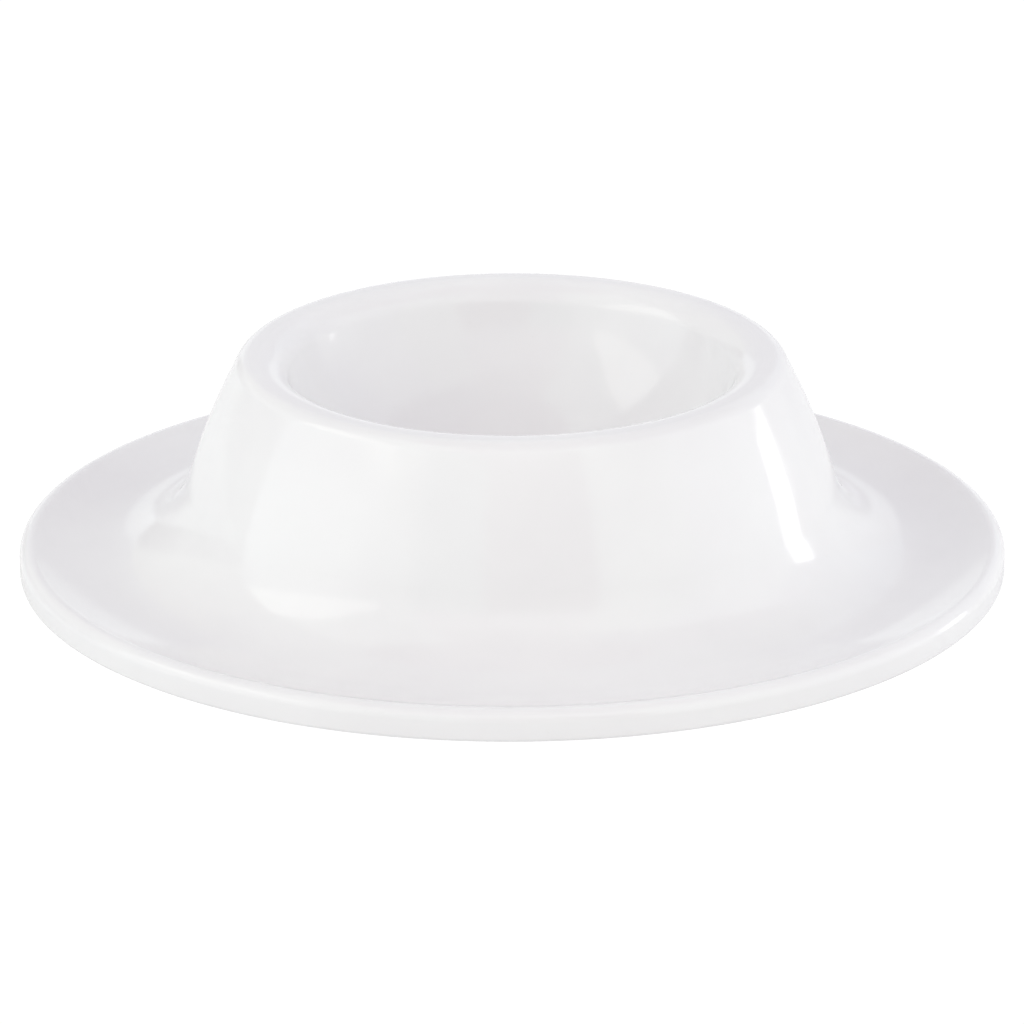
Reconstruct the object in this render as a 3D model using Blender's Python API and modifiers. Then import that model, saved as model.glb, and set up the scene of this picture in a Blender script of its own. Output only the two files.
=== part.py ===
"""Egg cup with a wide saucer, one thin-walled gloss moulding.

The cup and its saucer are one piece: a round-bottomed bowl under a broad
rounded lip that the egg sits on, a drafted wall, a sweeping fillet into a
channel-shaped saucer, and a squared rim. Underneath the wall thickness stays
near constant, so the cup is hollow between the bowl and the outer wall, and
the piece stands on a low foot ring.

Units are metres. +Z is up, the origin is at the centre of the foot plane.
"""

import math

import bpy

MM = 0.001

# ---- driving dimensions -------------------------------------------------
SEGMENTS = 64                        # facets round the axis

RIM_RADIUS = 42.5 * MM               # outside of the saucer, 85 mm across
RIM_TOP_Z = 4.52 * MM                # highest line of the saucer's rim
RIM_FACE = 2.54 * MM                 # height of the rim's upright face
RIM_TOP_ROUND = 1.0 * MM
RIM_BOTTOM_ROUND = 0.35 * MM
RIM_RISE = math.radians(20.0)        # slope of the saucer as it climbs to the rim
RIM_RISE_ROUND = 15.5 * MM

TROUGH_Z = 3.50 * MM                 # lowest line of the saucer's upper face
TROUGH_ROUND = 8.0 * MM              # fillet from the cup wall into the saucer

CREST_Z = 20.76 * MM                 # top of the cup's lip, the overall height
CREST_RADIUS = 22.35 * MM            # radius of the lip's highest line
LIP_OUTER_ROUND = 1.5 * MM
WALL_TOP_DRAFT = math.radians(26.0)  # slope of the wall from upright, under the lip
WALL_FOOT_DRAFT = math.radians(16.3)  # and where it meets the saucer's fillet
WALL_KNEE_Z = 13.84 * MM             # where those two slopes would cross
WALL_KNEE_ROUND = 56.0 * MM          # so the wall swells very slightly

LIP_FLAT = 0.65 * MM                 # width of the lip's level band
LIP_INNER_ROUND = 2.7 * MM           # inner side of the lip, which carries the egg
BOWL_SLOPE = math.radians(70.0)      # steepest slope inside the bowl
BOWL_ROUND = 20.35 * MM              # the bowl below the lip is part of a sphere

SKIN = 2.5 * MM                      # wall thickness
UNDER_RISE = math.radians(19.0)      # slope of the saucer's underside at the rim
UNDER_RISE_ROUND = 12.0 * MM
UNDER_Z = 1.00 * MM                  # underside of the saucer over the foot plane
FOOT_OUTER_RADIUS = 35.4 * MM
FOOT_INNER_RADIUS = 33.0 * MM
FOOT_DRAFT = 0.15 * MM               # how far each side of the foot leans in
FOOT_ROUND = 0.4 * MM
FOOT_ROOT_ROUND = 0.5 * MM
HOLLOW_DRAFT = math.radians(18.5)    # inner face of the outer wall, from upright
HOLLOW_FACE_RADIUS = 25.0 * MM       # radius of that face at 9 mm over the foot plane
HOLLOW_FACE_Z = 9.0 * MM
HOLLOW_FOOT_Z = 1.25 * MM            # where the hollow starts, inside the foot ring
HOLLOW_FOOT_SLOPE = math.radians(12.0)
HOLLOW_FOOT_ROUND = 10.0 * MM
ROOF_Z = 15.6 * MM                   # top of the hollow, where the two skins meet
ROOF_ROUND = 1.2 * MM
UNDER_BOWL_SLOPE = math.radians(60.0)  # steepest slope of the bowl's underside

BODY_COLOUR = (0.86, 0.86, 0.865, 1.0)
BODY_ROUGHNESS = 0.12


def clear_scene():
    for obj in list(bpy.data.objects):
        bpy.data.objects.remove(obj, do_unlink=True)


def arc_steps(radius, angle):
    """Chords for one rounding: finer on a wide sweep than on a small corner."""
    finest = math.radians(13.0 if radius > 5 * MM else 24.0 if radius > 2 * MM else 45.0)
    return max(2, math.ceil(abs(angle) / finest))


def rounded(corners):
    """Points (r, z) along a path of corners (r, z, rounding), each corner replaced by its tangent arc."""
    path = []
    last = len(corners) - 1
    for i, (r, z, radius) in enumerate(corners):
        if i in (0, last) or radius == 0.0:
            path.append((r, z))
            continue
        ar, az, _ = corners[i - 1]
        br, bz, _ = corners[i + 1]
        into = math.atan2(z - az, r - ar)
        out = math.atan2(bz - z, br - r)
        turn = (out - into + math.pi) % (2 * math.pi) - math.pi
        setback = radius * math.tan(abs(turn) / 2)
        start_r = r - setback * math.cos(into)
        start_z = z - setback * math.sin(into)
        side = math.copysign(1.0, turn)
        centre_r = start_r - side * radius * math.sin(into)
        centre_z = start_z + side * radius * math.cos(into)
        steps = arc_steps(radius, turn)
        for k in range(steps + 1):
            heading = into + turn * k / steps
            path.append((centre_r + side * radius * math.sin(heading),
                         centre_z - side * radius * math.cos(heading)))
    tidy = [path[0]]
    for point in path[1:]:
        if math.dist(point, tidy[-1]) > 0.02 * MM:
            tidy.append(point)
    return tidy


def crossing(first, first_angle, second, second_angle):
    """Where two lines meet, each given by a point (r, z) and its angle to the radius."""
    ar, az = math.cos(first_angle), math.sin(first_angle)
    br, bz = math.cos(second_angle), math.sin(second_angle)
    gap_r, gap_z = second[0] - first[0], second[1] - first[1]
    along = (gap_r * bz - gap_z * br) / (ar * bz - az * br)
    return (first[0] + along * ar, first[1] + along * az)


def bowl():
    """Where the bowl's steepest line crosses the lip's level, where it meets the floor, and the floor's height."""
    lip_r = CREST_RADIUS - LIP_FLAT - LIP_INNER_ROUND * math.tan(BOWL_SLOPE / 2)
    # The floor is the height at which that line is tangent to a sphere centred on the axis.
    depth = math.tan(BOWL_SLOPE) * (lip_r - BOWL_ROUND * math.tan(BOWL_SLOPE / 2))
    return lip_r, lip_r - depth / math.tan(BOWL_SLOPE), CREST_Z - depth


def upper_corners():
    """From the bottom of the bowl, over the lip and down the wall, to the rim's lower edge."""
    mouth_r, floor_r, floor_z = bowl()
    lip_r = CREST_RADIUS + LIP_OUTER_ROUND * math.tan(math.pi / 4 - WALL_TOP_DRAFT / 2)
    knee_r = lip_r + (CREST_Z - WALL_KNEE_Z) * math.tan(WALL_TOP_DRAFT)
    foot_r = knee_r + (WALL_KNEE_Z - TROUGH_Z) * math.tan(WALL_FOOT_DRAFT)
    # The rim's rounding touches RIM_TOP_Z, the rising face and the upright face.
    round_z = RIM_TOP_Z - RIM_TOP_ROUND
    round_r = RIM_RADIUS - RIM_TOP_ROUND
    rise_z = round_z + RIM_TOP_ROUND / math.cos(RIM_RISE)
    rise_r = round_r - (rise_z - TROUGH_Z) / math.tan(RIM_RISE)
    edge_z = rise_z + RIM_TOP_ROUND * math.tan(RIM_RISE)
    return [
        (0.0, floor_z, 0.0),
        (floor_r, floor_z, BOWL_ROUND),
        (mouth_r, CREST_Z, LIP_INNER_ROUND),
        (lip_r, CREST_Z, LIP_OUTER_ROUND),
        (knee_r, WALL_KNEE_Z, WALL_KNEE_ROUND),
        (foot_r, TROUGH_Z, TROUGH_ROUND),
        (rise_r, TROUGH_Z, RIM_RISE_ROUND),
        (RIM_RADIUS, edge_z, RIM_TOP_ROUND),
    ]


def lower_corners():
    """From the rim's lower edge, round the foot ring and up the hollow, to the axis under the bowl."""
    rim_z = RIM_TOP_Z - RIM_FACE
    under_r = RIM_RADIUS - (rim_z - UNDER_Z) / math.tan(UNDER_RISE)
    face = ((HOLLOW_FACE_RADIUS, HOLLOW_FACE_Z), math.pi / 2 + HOLLOW_DRAFT)
    hollow_start = (FOOT_INNER_RADIUS - FOOT_DRAFT, HOLLOW_FOOT_Z)
    hollow_foot = crossing(hollow_start, math.pi - HOLLOW_FOOT_SLOPE, *face)
    # The bowl's underside is a sphere about the bowl's own centre, SKIN larger.
    floor_z = bowl()[2] - SKIN
    under_round = BOWL_ROUND + SKIN
    steep = (under_round * math.sin(UNDER_BOWL_SLOPE),
             floor_z + under_round * (1 - math.cos(UNDER_BOWL_SLOPE)))
    roof_outer = crossing((0.0, ROOF_Z), 0.0, *face)
    roof_inner = crossing((0.0, ROOF_Z), 0.0, steep, UNDER_BOWL_SLOPE)
    floor = crossing(steep, UNDER_BOWL_SLOPE, (0.0, floor_z), 0.0)
    return [
        (RIM_RADIUS, rim_z, RIM_BOTTOM_ROUND),
        (under_r, UNDER_Z, UNDER_RISE_ROUND),
        (FOOT_OUTER_RADIUS + FOOT_DRAFT, UNDER_Z, FOOT_ROOT_ROUND),
        (FOOT_OUTER_RADIUS, 0.0, FOOT_ROUND),
        (FOOT_INNER_RADIUS, 0.0, FOOT_ROUND),
        (*hollow_start, 0.0),
        (*hollow_foot, HOLLOW_FOOT_ROUND),
        (*roof_outer, ROOF_ROUND),
        (*roof_inner, ROOF_ROUND),
        (*floor, under_round),
        (0.0, floor_z, 0.0),
    ]


def material():
    gloss = bpy.data.materials.new("white_gloss_plastic")
    gloss.use_nodes = True
    shader = gloss.node_tree.nodes["Principled BSDF"]
    shader.inputs["Base Color"].default_value = BODY_COLOUR
    shader.inputs["Roughness"].default_value = BODY_ROUGHNESS
    shader.inputs["Metallic"].default_value = 0.0
    gloss.diffuse_color = BODY_COLOUR
    return gloss


def turned(name, corners, collection):
    """A closed body turned from a profile that runs from the axis, over the outside, back to the axis."""
    points = rounded(corners)
    mesh = bpy.data.meshes.new(name)
    mesh.from_pydata([(r, 0.0, z) for r, z in points],
                     [(i, i + 1) for i in range(len(points) - 1)], [])
    obj = bpy.data.objects.new(name, mesh)
    collection.objects.link(obj)
    screw = obj.modifiers.new("turn", "SCREW")
    screw.axis = "Z"
    screw.angle = 2 * math.pi
    screw.screw_offset = 0.0
    screw.steps = SEGMENTS
    screw.render_steps = SEGMENTS
    screw.use_merge_vertices = True
    screw.merge_threshold = 0.00001
    screw.use_smooth_shade = True
    # The modifier is applied so that the mesh itself carries its smooth shading.
    graph = bpy.context.evaluated_depsgraph_get()
    solid = bpy.data.meshes.new_from_object(obj.evaluated_get(graph))
    obj.modifiers.clear()
    obj.data = solid
    bpy.data.meshes.remove(mesh)
    solid.name = name
    solid.shade_smooth()
    solid.set_sharp_from_angle(angle=math.radians(40.0))
    return obj


def main():
    clear_scene()
    collection = bpy.data.collections.new("egg_cup")
    bpy.context.scene.collection.children.link(collection)
    body = turned("egg_cup_body", upper_corners() + lower_corners(), collection)
    body.data.materials.append(material())


main()
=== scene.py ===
"""Looks for the one-piece melamine egg cup: a fine turned body, its glossy moulded
material, a plain white floor, soft studio cards and the camera."""

import math

import bmesh
import bpy
from mathutils import Matrix, Vector


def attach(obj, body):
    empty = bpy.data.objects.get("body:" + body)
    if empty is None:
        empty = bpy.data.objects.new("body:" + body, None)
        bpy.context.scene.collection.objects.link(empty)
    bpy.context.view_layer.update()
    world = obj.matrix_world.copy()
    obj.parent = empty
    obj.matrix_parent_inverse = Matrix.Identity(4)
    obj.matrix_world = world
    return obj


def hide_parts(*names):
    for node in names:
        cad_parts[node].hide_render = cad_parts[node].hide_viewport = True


MM = 0.001

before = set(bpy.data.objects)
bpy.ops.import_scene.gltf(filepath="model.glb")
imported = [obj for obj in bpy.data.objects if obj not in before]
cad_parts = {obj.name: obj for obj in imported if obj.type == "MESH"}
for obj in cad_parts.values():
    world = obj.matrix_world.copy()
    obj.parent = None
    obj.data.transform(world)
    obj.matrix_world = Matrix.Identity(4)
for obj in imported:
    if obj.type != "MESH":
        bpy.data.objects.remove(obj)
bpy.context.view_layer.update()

# ---- the body's section, the same dimensions as the CAD ------------------
SEGMENTS = 360

RIM_RADIUS = 42.5 * MM
RIM_TOP_Z = 4.52 * MM
RIM_FACE = 2.54 * MM
RIM_TOP_ROUND = 1.0 * MM
RIM_BOTTOM_ROUND = 0.35 * MM
RIM_RISE = math.radians(20.0)
RIM_RISE_ROUND = 15.5 * MM
TROUGH_Z = 3.50 * MM
TROUGH_ROUND = 8.0 * MM
CREST_Z = 20.76 * MM
CREST_RADIUS = 22.35 * MM
LIP_OUTER_ROUND = 1.5 * MM
WALL_TOP_DRAFT = math.radians(26.0)
WALL_FOOT_DRAFT = math.radians(16.3)
WALL_KNEE_Z = 13.84 * MM
WALL_KNEE_ROUND = 56.0 * MM
LIP_FLAT = 0.65 * MM
LIP_INNER_ROUND = 2.7 * MM
BOWL_SLOPE = math.radians(70.0)
BOWL_ROUND = 20.35 * MM
SKIN = 2.5 * MM
UNDER_RISE = math.radians(19.0)
UNDER_RISE_ROUND = 12.0 * MM
UNDER_Z = 1.00 * MM
FOOT_OUTER_RADIUS = 35.4 * MM
FOOT_INNER_RADIUS = 33.0 * MM
FOOT_DRAFT = 0.15 * MM
FOOT_ROUND = 0.4 * MM
FOOT_ROOT_ROUND = 0.5 * MM
HOLLOW_DRAFT = math.radians(18.5)
HOLLOW_FACE_RADIUS = 25.0 * MM
HOLLOW_FACE_Z = 9.0 * MM
HOLLOW_FOOT_Z = 1.25 * MM
HOLLOW_FOOT_SLOPE = math.radians(12.0)
HOLLOW_FOOT_ROUND = 10.0 * MM
ROOF_Z = 15.6 * MM
ROOF_ROUND = 1.2 * MM
UNDER_BOWL_SLOPE = math.radians(60.0)


def arc_steps(radius, angle):
    """Chords for one rounding, about 2 degrees each and none longer than 0.5 mm."""
    return max(4, math.ceil(abs(angle) / math.radians(2.5)),
               math.ceil(abs(angle) * radius / (0.5 * MM)))


def rounded(corners):
    """Points (r, z) along a path of corners (r, z, rounding), each replaced by its tangent arc."""
    path = []
    last = len(corners) - 1
    for i, (r, z, radius) in enumerate(corners):
        if i in (0, last) or radius == 0.0:
            path.append((r, z))
            continue
        ar, az, _ = corners[i - 1]
        br, bz, _ = corners[i + 1]
        into = math.atan2(z - az, r - ar)
        out = math.atan2(bz - z, br - r)
        turn = (out - into + math.pi) % (2 * math.pi) - math.pi
        setback = radius * math.tan(abs(turn) / 2)
        start_r = r - setback * math.cos(into)
        start_z = z - setback * math.sin(into)
        side = math.copysign(1.0, turn)
        centre_r = start_r - side * radius * math.sin(into)
        centre_z = start_z + side * radius * math.cos(into)
        steps = arc_steps(radius, turn)
        for k in range(steps + 1):
            heading = into + turn * k / steps
            path.append((centre_r + side * radius * math.sin(heading),
                         centre_z - side * radius * math.cos(heading)))
    tidy = [path[0]]
    for point in path[1:]:
        if math.dist(point, tidy[-1]) > 0.02 * MM:
            tidy.append(point)
    return tidy


def crossing(first, first_angle, second, second_angle):
    ar, az = math.cos(first_angle), math.sin(first_angle)
    br, bz = math.cos(second_angle), math.sin(second_angle)
    gap_r, gap_z = second[0] - first[0], second[1] - first[1]
    along = (gap_r * bz - gap_z * br) / (ar * bz - az * br)
    return (first[0] + along * ar, first[1] + along * az)


def bowl():
    lip_r = CREST_RADIUS - LIP_FLAT - LIP_INNER_ROUND * math.tan(BOWL_SLOPE / 2)
    depth = math.tan(BOWL_SLOPE) * (lip_r - BOWL_ROUND * math.tan(BOWL_SLOPE / 2))
    return lip_r, lip_r - depth / math.tan(BOWL_SLOPE), CREST_Z - depth


def section():
    """The whole section, from the bowl's floor over the outside and back under the bowl."""
    mouth_r, floor_r, floor_z = bowl()
    lip_r = CREST_RADIUS + LIP_OUTER_ROUND * math.tan(math.pi / 4 - WALL_TOP_DRAFT / 2)
    knee_r = lip_r + (CREST_Z - WALL_KNEE_Z) * math.tan(WALL_TOP_DRAFT)
    foot_r = knee_r + (WALL_KNEE_Z - TROUGH_Z) * math.tan(WALL_FOOT_DRAFT)
    round_z = RIM_TOP_Z - RIM_TOP_ROUND
    round_r = RIM_RADIUS - RIM_TOP_ROUND
    rise_z = round_z + RIM_TOP_ROUND / math.cos(RIM_RISE)
    rise_r = round_r - (rise_z - TROUGH_Z) / math.tan(RIM_RISE)
    edge_z = rise_z + RIM_TOP_ROUND * math.tan(RIM_RISE)
    rim_z = RIM_TOP_Z - RIM_FACE
    under_r = RIM_RADIUS - (rim_z - UNDER_Z) / math.tan(UNDER_RISE)
    face = ((HOLLOW_FACE_RADIUS, HOLLOW_FACE_Z), math.pi / 2 + HOLLOW_DRAFT)
    hollow_start = (FOOT_INNER_RADIUS - FOOT_DRAFT, HOLLOW_FOOT_Z)
    hollow_foot = crossing(hollow_start, math.pi - HOLLOW_FOOT_SLOPE, *face)
    under_floor_z = floor_z - SKIN
    under_round = BOWL_ROUND + SKIN
    steep = (under_round * math.sin(UNDER_BOWL_SLOPE),
             under_floor_z + under_round * (1 - math.cos(UNDER_BOWL_SLOPE)))
    roof_outer = crossing((0.0, ROOF_Z), 0.0, *face)
    roof_inner = crossing((0.0, ROOF_Z), 0.0, steep, UNDER_BOWL_SLOPE)
    floor = crossing(steep, UNDER_BOWL_SLOPE, (0.0, under_floor_z), 0.0)
    return rounded([
        (0.0, floor_z, 0.0),
        (floor_r, floor_z, BOWL_ROUND),
        (mouth_r, CREST_Z, LIP_INNER_ROUND),
        (lip_r, CREST_Z, LIP_OUTER_ROUND),
        (knee_r, WALL_KNEE_Z, WALL_KNEE_ROUND),
        (foot_r, TROUGH_Z, TROUGH_ROUND),
        (rise_r, TROUGH_Z, RIM_RISE_ROUND),
        (RIM_RADIUS, edge_z, RIM_TOP_ROUND),
        (RIM_RADIUS, rim_z, RIM_BOTTOM_ROUND),
        (under_r, UNDER_Z, UNDER_RISE_ROUND),
        (FOOT_OUTER_RADIUS + FOOT_DRAFT, UNDER_Z, FOOT_ROOT_ROUND),
        (FOOT_OUTER_RADIUS, 0.0, FOOT_ROUND),
        (FOOT_INNER_RADIUS, 0.0, FOOT_ROUND),
        (*hollow_start, 0.0),
        (*hollow_foot, HOLLOW_FOOT_ROUND),
        (*roof_outer, ROOF_ROUND),
        (*roof_inner, ROOF_ROUND),
        (*floor, under_round),
        (0.0, under_floor_z, 0.0),
    ])


def lathe(name, points):
    """Turns the section round Z with bmesh, with one point at each end of the axis."""
    bm = bmesh.new()
    rings = []
    for r, z in points:
        if r < 1e-6:
            rings.append([bm.verts.new((0.0, 0.0, z))])
        else:
            rings.append([bm.verts.new((r * math.cos(2 * math.pi * k / SEGMENTS),
                                        r * math.sin(2 * math.pi * k / SEGMENTS), z))
                          for k in range(SEGMENTS)])
    for a, b in zip(rings, rings[1:]):
        for k in range(SEGMENTS):
            n = (k + 1) % SEGMENTS
            if len(a) == 1:
                bm.faces.new((a[0], b[k], b[n]))
            elif len(b) == 1:
                bm.faces.new((a[k], b[0], a[n]))
            else:
                bm.faces.new((a[k], b[k], b[n], a[n]))
    bmesh.ops.recalc_face_normals(bm, faces=bm.faces)
    mesh = bpy.data.meshes.new(name)
    bm.to_mesh(mesh)
    bm.free()
    mesh.shade_smooth()
    mesh.set_sharp_from_angle(angle=math.radians(50.0))
    obj = bpy.data.objects.new(name, mesh)
    bpy.context.scene.collection.objects.link(obj)
    return obj


# ---- material --------------------------------------------------------------
def node(tree, kind, x, y, **values):
    made = tree.nodes.new(kind)
    made.location = (x, y)
    for key, value in values.items():
        setattr(made, key, value)
    return made


def melamine():
    """White moulded melamine: polished, with the faint waviness, cloud and handling marks of the real resin."""
    mat = bpy.data.materials.new("white_melamine")
    mat.use_nodes = True
    tree = mat.node_tree
    shader = tree.nodes["Principled BSDF"]
    link = tree.links.new
    coord = node(tree, "ShaderNodeTexCoord", -1700, 0)
    place = coord.outputs["Object"]

    def noise(scale, detail, rough, x, y):
        n = node(tree, "ShaderNodeTexNoise", x, y)
        n.inputs["Scale"].default_value = scale
        n.inputs["Detail"].default_value = detail
        n.inputs["Roughness"].default_value = rough
        link(place, n.inputs["Vector"])
        return n

    def ramp(source, low, high, a, b, x, y):
        r = node(tree, "ShaderNodeMapRange", x, y)
        r.inputs["From Min"].default_value = low
        r.inputs["From Max"].default_value = high
        r.inputs["To Min"].default_value = a
        r.inputs["To Max"].default_value = b
        link(source, r.inputs["Value"])
        return r.outputs["Result"]

    # Colour: a cool white with a slow cloud through it, and a fine fleck.
    cloud = noise(70.0, 3.0, 0.5, -1400, 500)
    fleck = noise(2600.0, 2.0, 0.6, -1400, 250)
    shade = node(tree, "ShaderNodeMix", -1000, 450, data_type="RGBA")
    shade.inputs["A"].default_value = (0.801, 0.793, 0.804, 1.0)
    shade.inputs["B"].default_value = (0.826, 0.821, 0.828, 1.0)
    link(ramp(cloud.outputs["Fac"], 0.35, 0.65, 0.0, 1.0, -1200, 500), shade.inputs["Factor"])
    dusty = node(tree, "ShaderNodeMix", -750, 400, data_type="RGBA")
    dusty.inputs["B"].default_value = (0.72, 0.715, 0.71, 1.0)
    link(ramp(fleck.outputs["Fac"], 0.70, 0.80, 0.0, 0.25, -1200, 250), dusty.inputs["Factor"])
    link(shade.outputs["Result"], dusty.inputs["A"])

    # The foot ring's bearing face is scuffed where it slides on a table.
    split = node(tree, "ShaderNodeSeparateXYZ", -1400, -50)
    link(place, split.inputs["Vector"])
    foot = ramp(split.outputs["Z"], 0.0, 0.00025, 1.0, 0.0, -1200, -50)
    scuff_noise = noise(900.0, 4.0, 0.7, -1400, -250)
    scuff = node(tree, "ShaderNodeMath", -950, -80, operation="MULTIPLY")
    link(foot, scuff.inputs[0])
    link(ramp(scuff_noise.outputs["Fac"], 0.35, 0.7, 0.2, 1.0, -1200, -250), scuff.inputs[1])
    worn = node(tree, "ShaderNodeMix", -500, 350, data_type="RGBA")
    worn.inputs["B"].default_value = (0.66, 0.65, 0.64, 1.0)
    link(scuff.outputs["Value"], worn.inputs["Factor"])
    link(dusty.outputs["Result"], worn.inputs["A"])
    link(worn.outputs["Result"], shader.inputs["Base Color"])

    # Roughness: polished, with faint smears and hair scratches.
    smear = noise(110.0, 5.0, 0.6, -1400, -450)
    stretch = node(tree, "ShaderNodeMapping", -1600, -700)
    stretch.inputs["Scale"].default_value = (1.0, 0.04, 1.0)
    stretch.inputs["Rotation"].default_value = (0.3, 0.2, 0.7)
    link(place, stretch.inputs["Vector"])
    hair = node(tree, "ShaderNodeTexNoise", -1400, -700)
    hair.inputs["Scale"].default_value = 5200.0
    hair.inputs["Detail"].default_value = 1.0
    link(stretch.outputs["Vector"], hair.inputs["Vector"])
    base = ramp(smear.outputs["Fac"], 0.3, 0.7, 0.095, 0.125, -1200, -450)
    lines = ramp(hair.outputs["Fac"], 0.74, 0.80, 0.0, 0.05, -1200, -700)
    add = node(tree, "ShaderNodeMath", -950, -500, operation="ADD")
    link(base, add.inputs[0])
    link(lines, add.inputs[1])
    rub = node(tree, "ShaderNodeMath", -750, -450, operation="MULTIPLY_ADD")
    link(scuff.outputs["Value"], rub.inputs[0])
    rub.inputs[1].default_value = 0.35
    link(add.outputs["Value"], rub.inputs[2])
    link(rub.outputs["Value"], shader.inputs["Roughness"])

    # Bump: the moulding's slow waviness and a much finer skin.
    wave = noise(160.0, 2.0, 0.5, -1400, -950)
    skin = noise(1500.0, 3.0, 0.55, -1400, -1200)
    slow = node(tree, "ShaderNodeBump", -600, -950)
    slow.inputs["Strength"].default_value = 0.25
    slow.inputs["Distance"].default_value = 0.00002
    link(wave.outputs["Fac"], slow.inputs["Height"])
    fine = node(tree, "ShaderNodeBump", -350, -950)
    fine.inputs["Strength"].default_value = 0.2
    fine.inputs["Distance"].default_value = 0.000002
    link(skin.outputs["Fac"], fine.inputs["Height"])
    link(slow.outputs["Normal"], fine.inputs["Normal"])
    link(fine.outputs["Normal"], shader.inputs["Normal"])

    shader.inputs["Metallic"].default_value = 0.0
    shader.inputs["IOR"].default_value = 1.5
    return mat


body = lathe("egg_cup_glazed_body", section())
body.data.materials.append(melamine())
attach(body, "root")
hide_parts("egg_cup_body")


# ---- floor ------------------------------------------------------------------
def flat_material(name, colour, glow):
    mat = bpy.data.materials.new(name)
    mat.use_nodes = True
    shader = mat.node_tree.nodes["Principled BSDF"]
    shader.inputs["Base Color"].default_value = (*colour, 1.0)
    shader.inputs["Roughness"].default_value = 0.9
    shader.inputs["Specular IOR Level"].default_value = 0.0
    shader.inputs["Emission Color"].default_value = (1.0, 1.0, 1.0, 1.0)
    shader.inputs["Emission Strength"].default_value = glow
    return mat


def floor_disc(name, radius, height):
    bm = bmesh.new()
    bmesh.ops.create_circle(bm, cap_ends=True, segments=96, radius=radius)
    mesh = bpy.data.meshes.new(name)
    bm.to_mesh(mesh)
    bm.free()
    obj = bpy.data.objects.new(name, mesh)
    obj.location.z = height
    bpy.context.scene.collection.objects.link(obj)
    return obj


# The cup stands on a pale floor that lights it from below, and the camera sees clean white
# paper in its place, so no shadow is drawn round the foot, as in a catalogue picture.
FLOOR_GLOW = 0.12
floor = floor_disc("floor", 4.0, 0.0)
floor.data.materials.append(flat_material("pale_floor", (0.80, 0.80, 0.80), FLOOR_GLOW))
floor.visible_camera = False
paper = floor_disc("white_paper", 4.0, -0.1 * MM)
paper.data.materials.append(flat_material("white_paper", (0.0, 0.0, 0.0), 1.05))
for ray in ("diffuse", "glossy", "transmission", "shadow", "volume_scatter"):
    setattr(paper, "visible_" + ray, False)


# ---- studio cards --------------------------------------------------------------
# Curved cards stand round the cup, 0.9 m away, lit evenly: bright ones are softboxes and dim
# ones are flags. Azimuth is counter-clockwise from +X, and the camera stands at 270.
CARD_RADIUS = 0.9
CARD_CENTRE = Vector((0.0, 0.0, 0.010))
WHITE = (1.0, 1.0, 1.0)
CARDS = {
    # name: (azimuths, lower elevations, upper elevations, radiance, tint)
    "left_softbox": ((167, 221), (-1, -1), (27, 27), 1.49, (0.98, 1.01, 1.01)),
    "left_softbox_top": ((167, 183, 197, 209, 221), (27,) * 5, (45, 48, 46, 40, 34), 2.39, (1.00, 1.03, 0.98)),
    "left_fill": ((221, 235), (-1, -1), (50, 52), 1.39, (0.97, 1.03, 0.99)),
    "left_above": ((167, 183, 197, 209, 221, 235), (45, 48, 46, 40, 34, 52), (68,) * 6, 1.21, (0.97, 1.04, 0.99)),
    "front_left": ((235, 260), (-1, -1), (33, 33), 1.03, (0.93, 1.06, 1.00)),
    "front": ((260, 300), (-1, -1), (33, 33), 0.60, (1.13, 0.91, 0.96)),
    "front_middle": ((235, 300), (33, 33), (52, 55), 1.22, (1.04, 0.97, 1.00)),
    "front_right": ((300, 335), (-1, -1), (57, 55), 1.46, (0.98, 1.04, 0.98)),
    "right_softbox": ((335, 377), (-1, -1), (55, 42), 1.49, (0.97, 1.01, 1.02)),
    "right_end_low": ((377, 391), (-1, -1), (13, 13), 1.34, (0.98, 1.00, 1.01)),
    "right_end": ((377, 391), (13, 13), (42, 38), 1.18, (0.97, 0.98, 1.05)),
    "right_back_low": ((391, 435), (-1, -1), (13, 13), 0.96, (0.99, 1.00, 1.02)),
    "right_back": ((391, 435), (13, 13), (38, 38), 0.99, (0.96, 1.00, 1.05)),
    "back_low": ((435, 470), (-1, -1), (13, 13), 1.07, (0.98, 1.00, 1.02)),
    "back": ((435, 470), (13, 13), (38, 38), 0.81, (0.98, 0.98, 1.04)),
    "left_back_low": ((470, 527), (-1, -1), (13, 13), 0.69, (1.01, 0.98, 1.00)),
    "left_back": ((470, 527), (13, 13), (38, 45), 0.93, (1.00, 1.01, 0.98)),
    "front_above": ((235, 300), (52, 55), (68, 68), 0.76, (1.06, 0.94, 0.99)),
    "right_above": ((300, 335, 377, 391), (57, 55, 42, 38), (68,) * 4, 0.78, (1.01, 0.96, 1.03)),
    "back_above": ((391, 470, 527), (38, 38, 45), (68,) * 3, 0.78, (0.98, 1.00, 1.02)),
    "top": ((0, 360), (68, 68), (90, 90), 0.48, (1.12, 0.86, 1.02)),
}
WORLD = 1.0


def between(xs, ys, x):
    for (x0, y0), (x1, y1) in zip(zip(xs, ys), list(zip(xs, ys))[1:]):
        if x <= x1:
            return y0 + (y1 - y0) * (x - x0) / (x1 - x0)
    return ys[-1]


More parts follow.
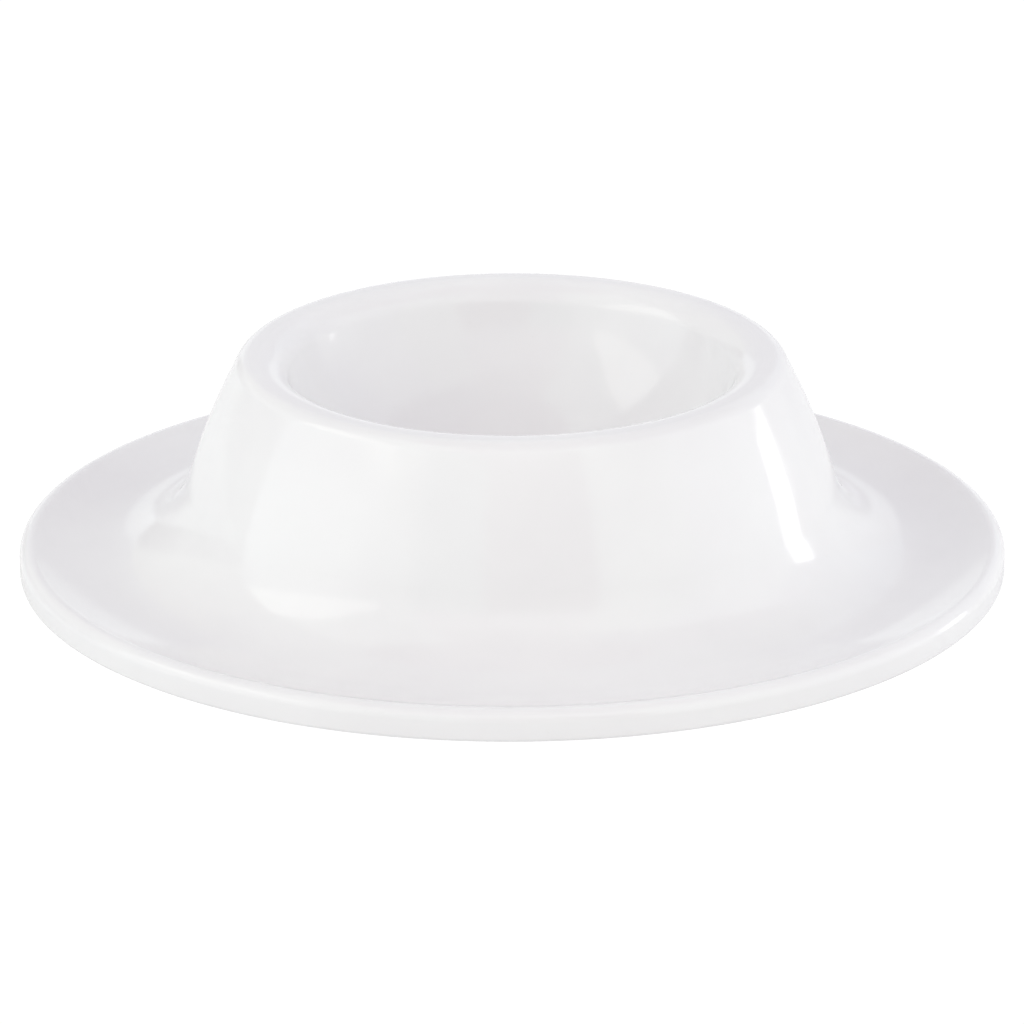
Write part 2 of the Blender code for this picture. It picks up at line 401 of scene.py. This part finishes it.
def glowing(name, rows, radiance, tint):
    """A patch through rows of points, evenly lit, unseen by the camera."""
    bm = bmesh.new()
    grid = [[bm.verts.new(point) for point in row] for row in rows]
    for low, high in zip(grid, grid[1:]):
        for i in range(len(low) - 1):
            bm.faces.new((low[i], high[i], high[i + 1], low[i + 1]))
    bmesh.ops.remove_doubles(bm, verts=bm.verts, dist=1e-6)
    mesh = bpy.data.meshes.new(name)
    bm.to_mesh(mesh)
    bm.free()
    obj = bpy.data.objects.new(name, mesh)
    bpy.context.scene.collection.objects.link(obj)
    mat = bpy.data.materials.new(name)
    mat.use_nodes = True
    tree = mat.node_tree
    tree.nodes.clear()
    out = tree.nodes.new("ShaderNodeOutputMaterial")
    glow = tree.nodes.new("ShaderNodeEmission")
    glow.inputs["Color"].default_value = (*tint, 1.0)
    glow.inputs["Strength"].default_value = radiance
    tree.links.new(glow.outputs["Emission"], out.inputs["Surface"])
    mesh.materials.append(mat)
    obj.visible_camera = False
    return obj


def card(name, azimuths, lower, upper, radiance, tint):
    """A curved card on a sphere round the cup, its lower and upper edges following the given elevations."""
    columns = max(2, math.ceil((azimuths[-1] - azimuths[0]) / 4))
    rows = []
    for j in range(7):
        row = []
        for i in range(columns + 1):
            degrees = azimuths[0] + (azimuths[-1] - azimuths[0]) * i / columns
            low, high = between(azimuths, lower, degrees), between(azimuths, upper, degrees)
            el, az = math.radians(low + (high - low) * j / 6), math.radians(degrees)
            row.append(CARD_CENTRE + CARD_RADIUS * Vector(
                (math.cos(el) * math.cos(az), math.cos(el) * math.sin(az), math.sin(el))))
        rows.append(row)
    return glowing(name, rows, radiance, tint)


for name, spec in CARDS.items():
    card(name, *spec)

# A small strip light stands close by on the right, low enough that the bowl never sees it.
STRIP = ((9.0, 19.0, 2 * MM), (13.3, 23.0, 43 * MM))      # azimuths and height of its ends
STRIP_DISTANCE = 0.16
STRIP_RADIANCE = 4.7
rows = []
for j in range(5):
    start, end, height = (a + (b - a) * j / 4 for a, b in zip(*STRIP))
    rows.append([Vector((STRIP_DISTANCE * math.cos(math.radians(start + (end - start) * i / 4)),
                         STRIP_DISTANCE * math.sin(math.radians(start + (end - start) * i / 4)),
                         height)) for i in range(5)])
glowing("strip", rows, STRIP_RADIANCE, WHITE)

world = bpy.data.worlds.new("studio")
world.use_nodes = True
back = world.node_tree.nodes["Background"]
back.inputs["Color"].default_value = (1.0, 1.0, 1.0, 1.0)
back.inputs["Strength"].default_value = WORLD
bpy.context.scene.world = world


# ---- camera ---------------------------------------------------------------------
ELEVATION = 0.3513
DISTANCE = 0.595
ROLL = -0.0024
aim_at = Vector((0.0, 0.0, RIM_TOP_Z - RIM_FACE / 2))
back_way = Vector((0.0, -math.cos(ELEVATION), math.sin(ELEVATION)))
right = Vector((1.0, 0.0, 0.0))
up = back_way.cross(right)
eye = aim_at + back_way * DISTANCE
rise = 2.94 * MM
look = (eye - (aim_at + up * rise)).normalized()
up = look.cross(right).normalized()
tilt_right = right * math.cos(ROLL) + up * math.sin(ROLL)
tilt_up = up * math.cos(ROLL) - right * math.sin(ROLL)
lens = bpy.data.cameras.new("camera")
lens.sensor_width = 36.0
lens.lens = 241.8
lens.clip_start = 0.05
lens.clip_end = 20.0
camera = bpy.data.objects.new("camera", lens)
camera.matrix_world = Matrix((
    (tilt_right.x, tilt_up.x, look.x, eye.x),
    (tilt_right.y, tilt_up.y, look.y, eye.y),
    (tilt_right.z, tilt_up.z, look.z, eye.z),
    (0.0, 0.0, 0.0, 1.0)))
bpy.context.scene.collection.objects.link(camera)
bpy.context.scene.camera = camera
bpy.context.scene.view_settings.view_transform = "Standard"
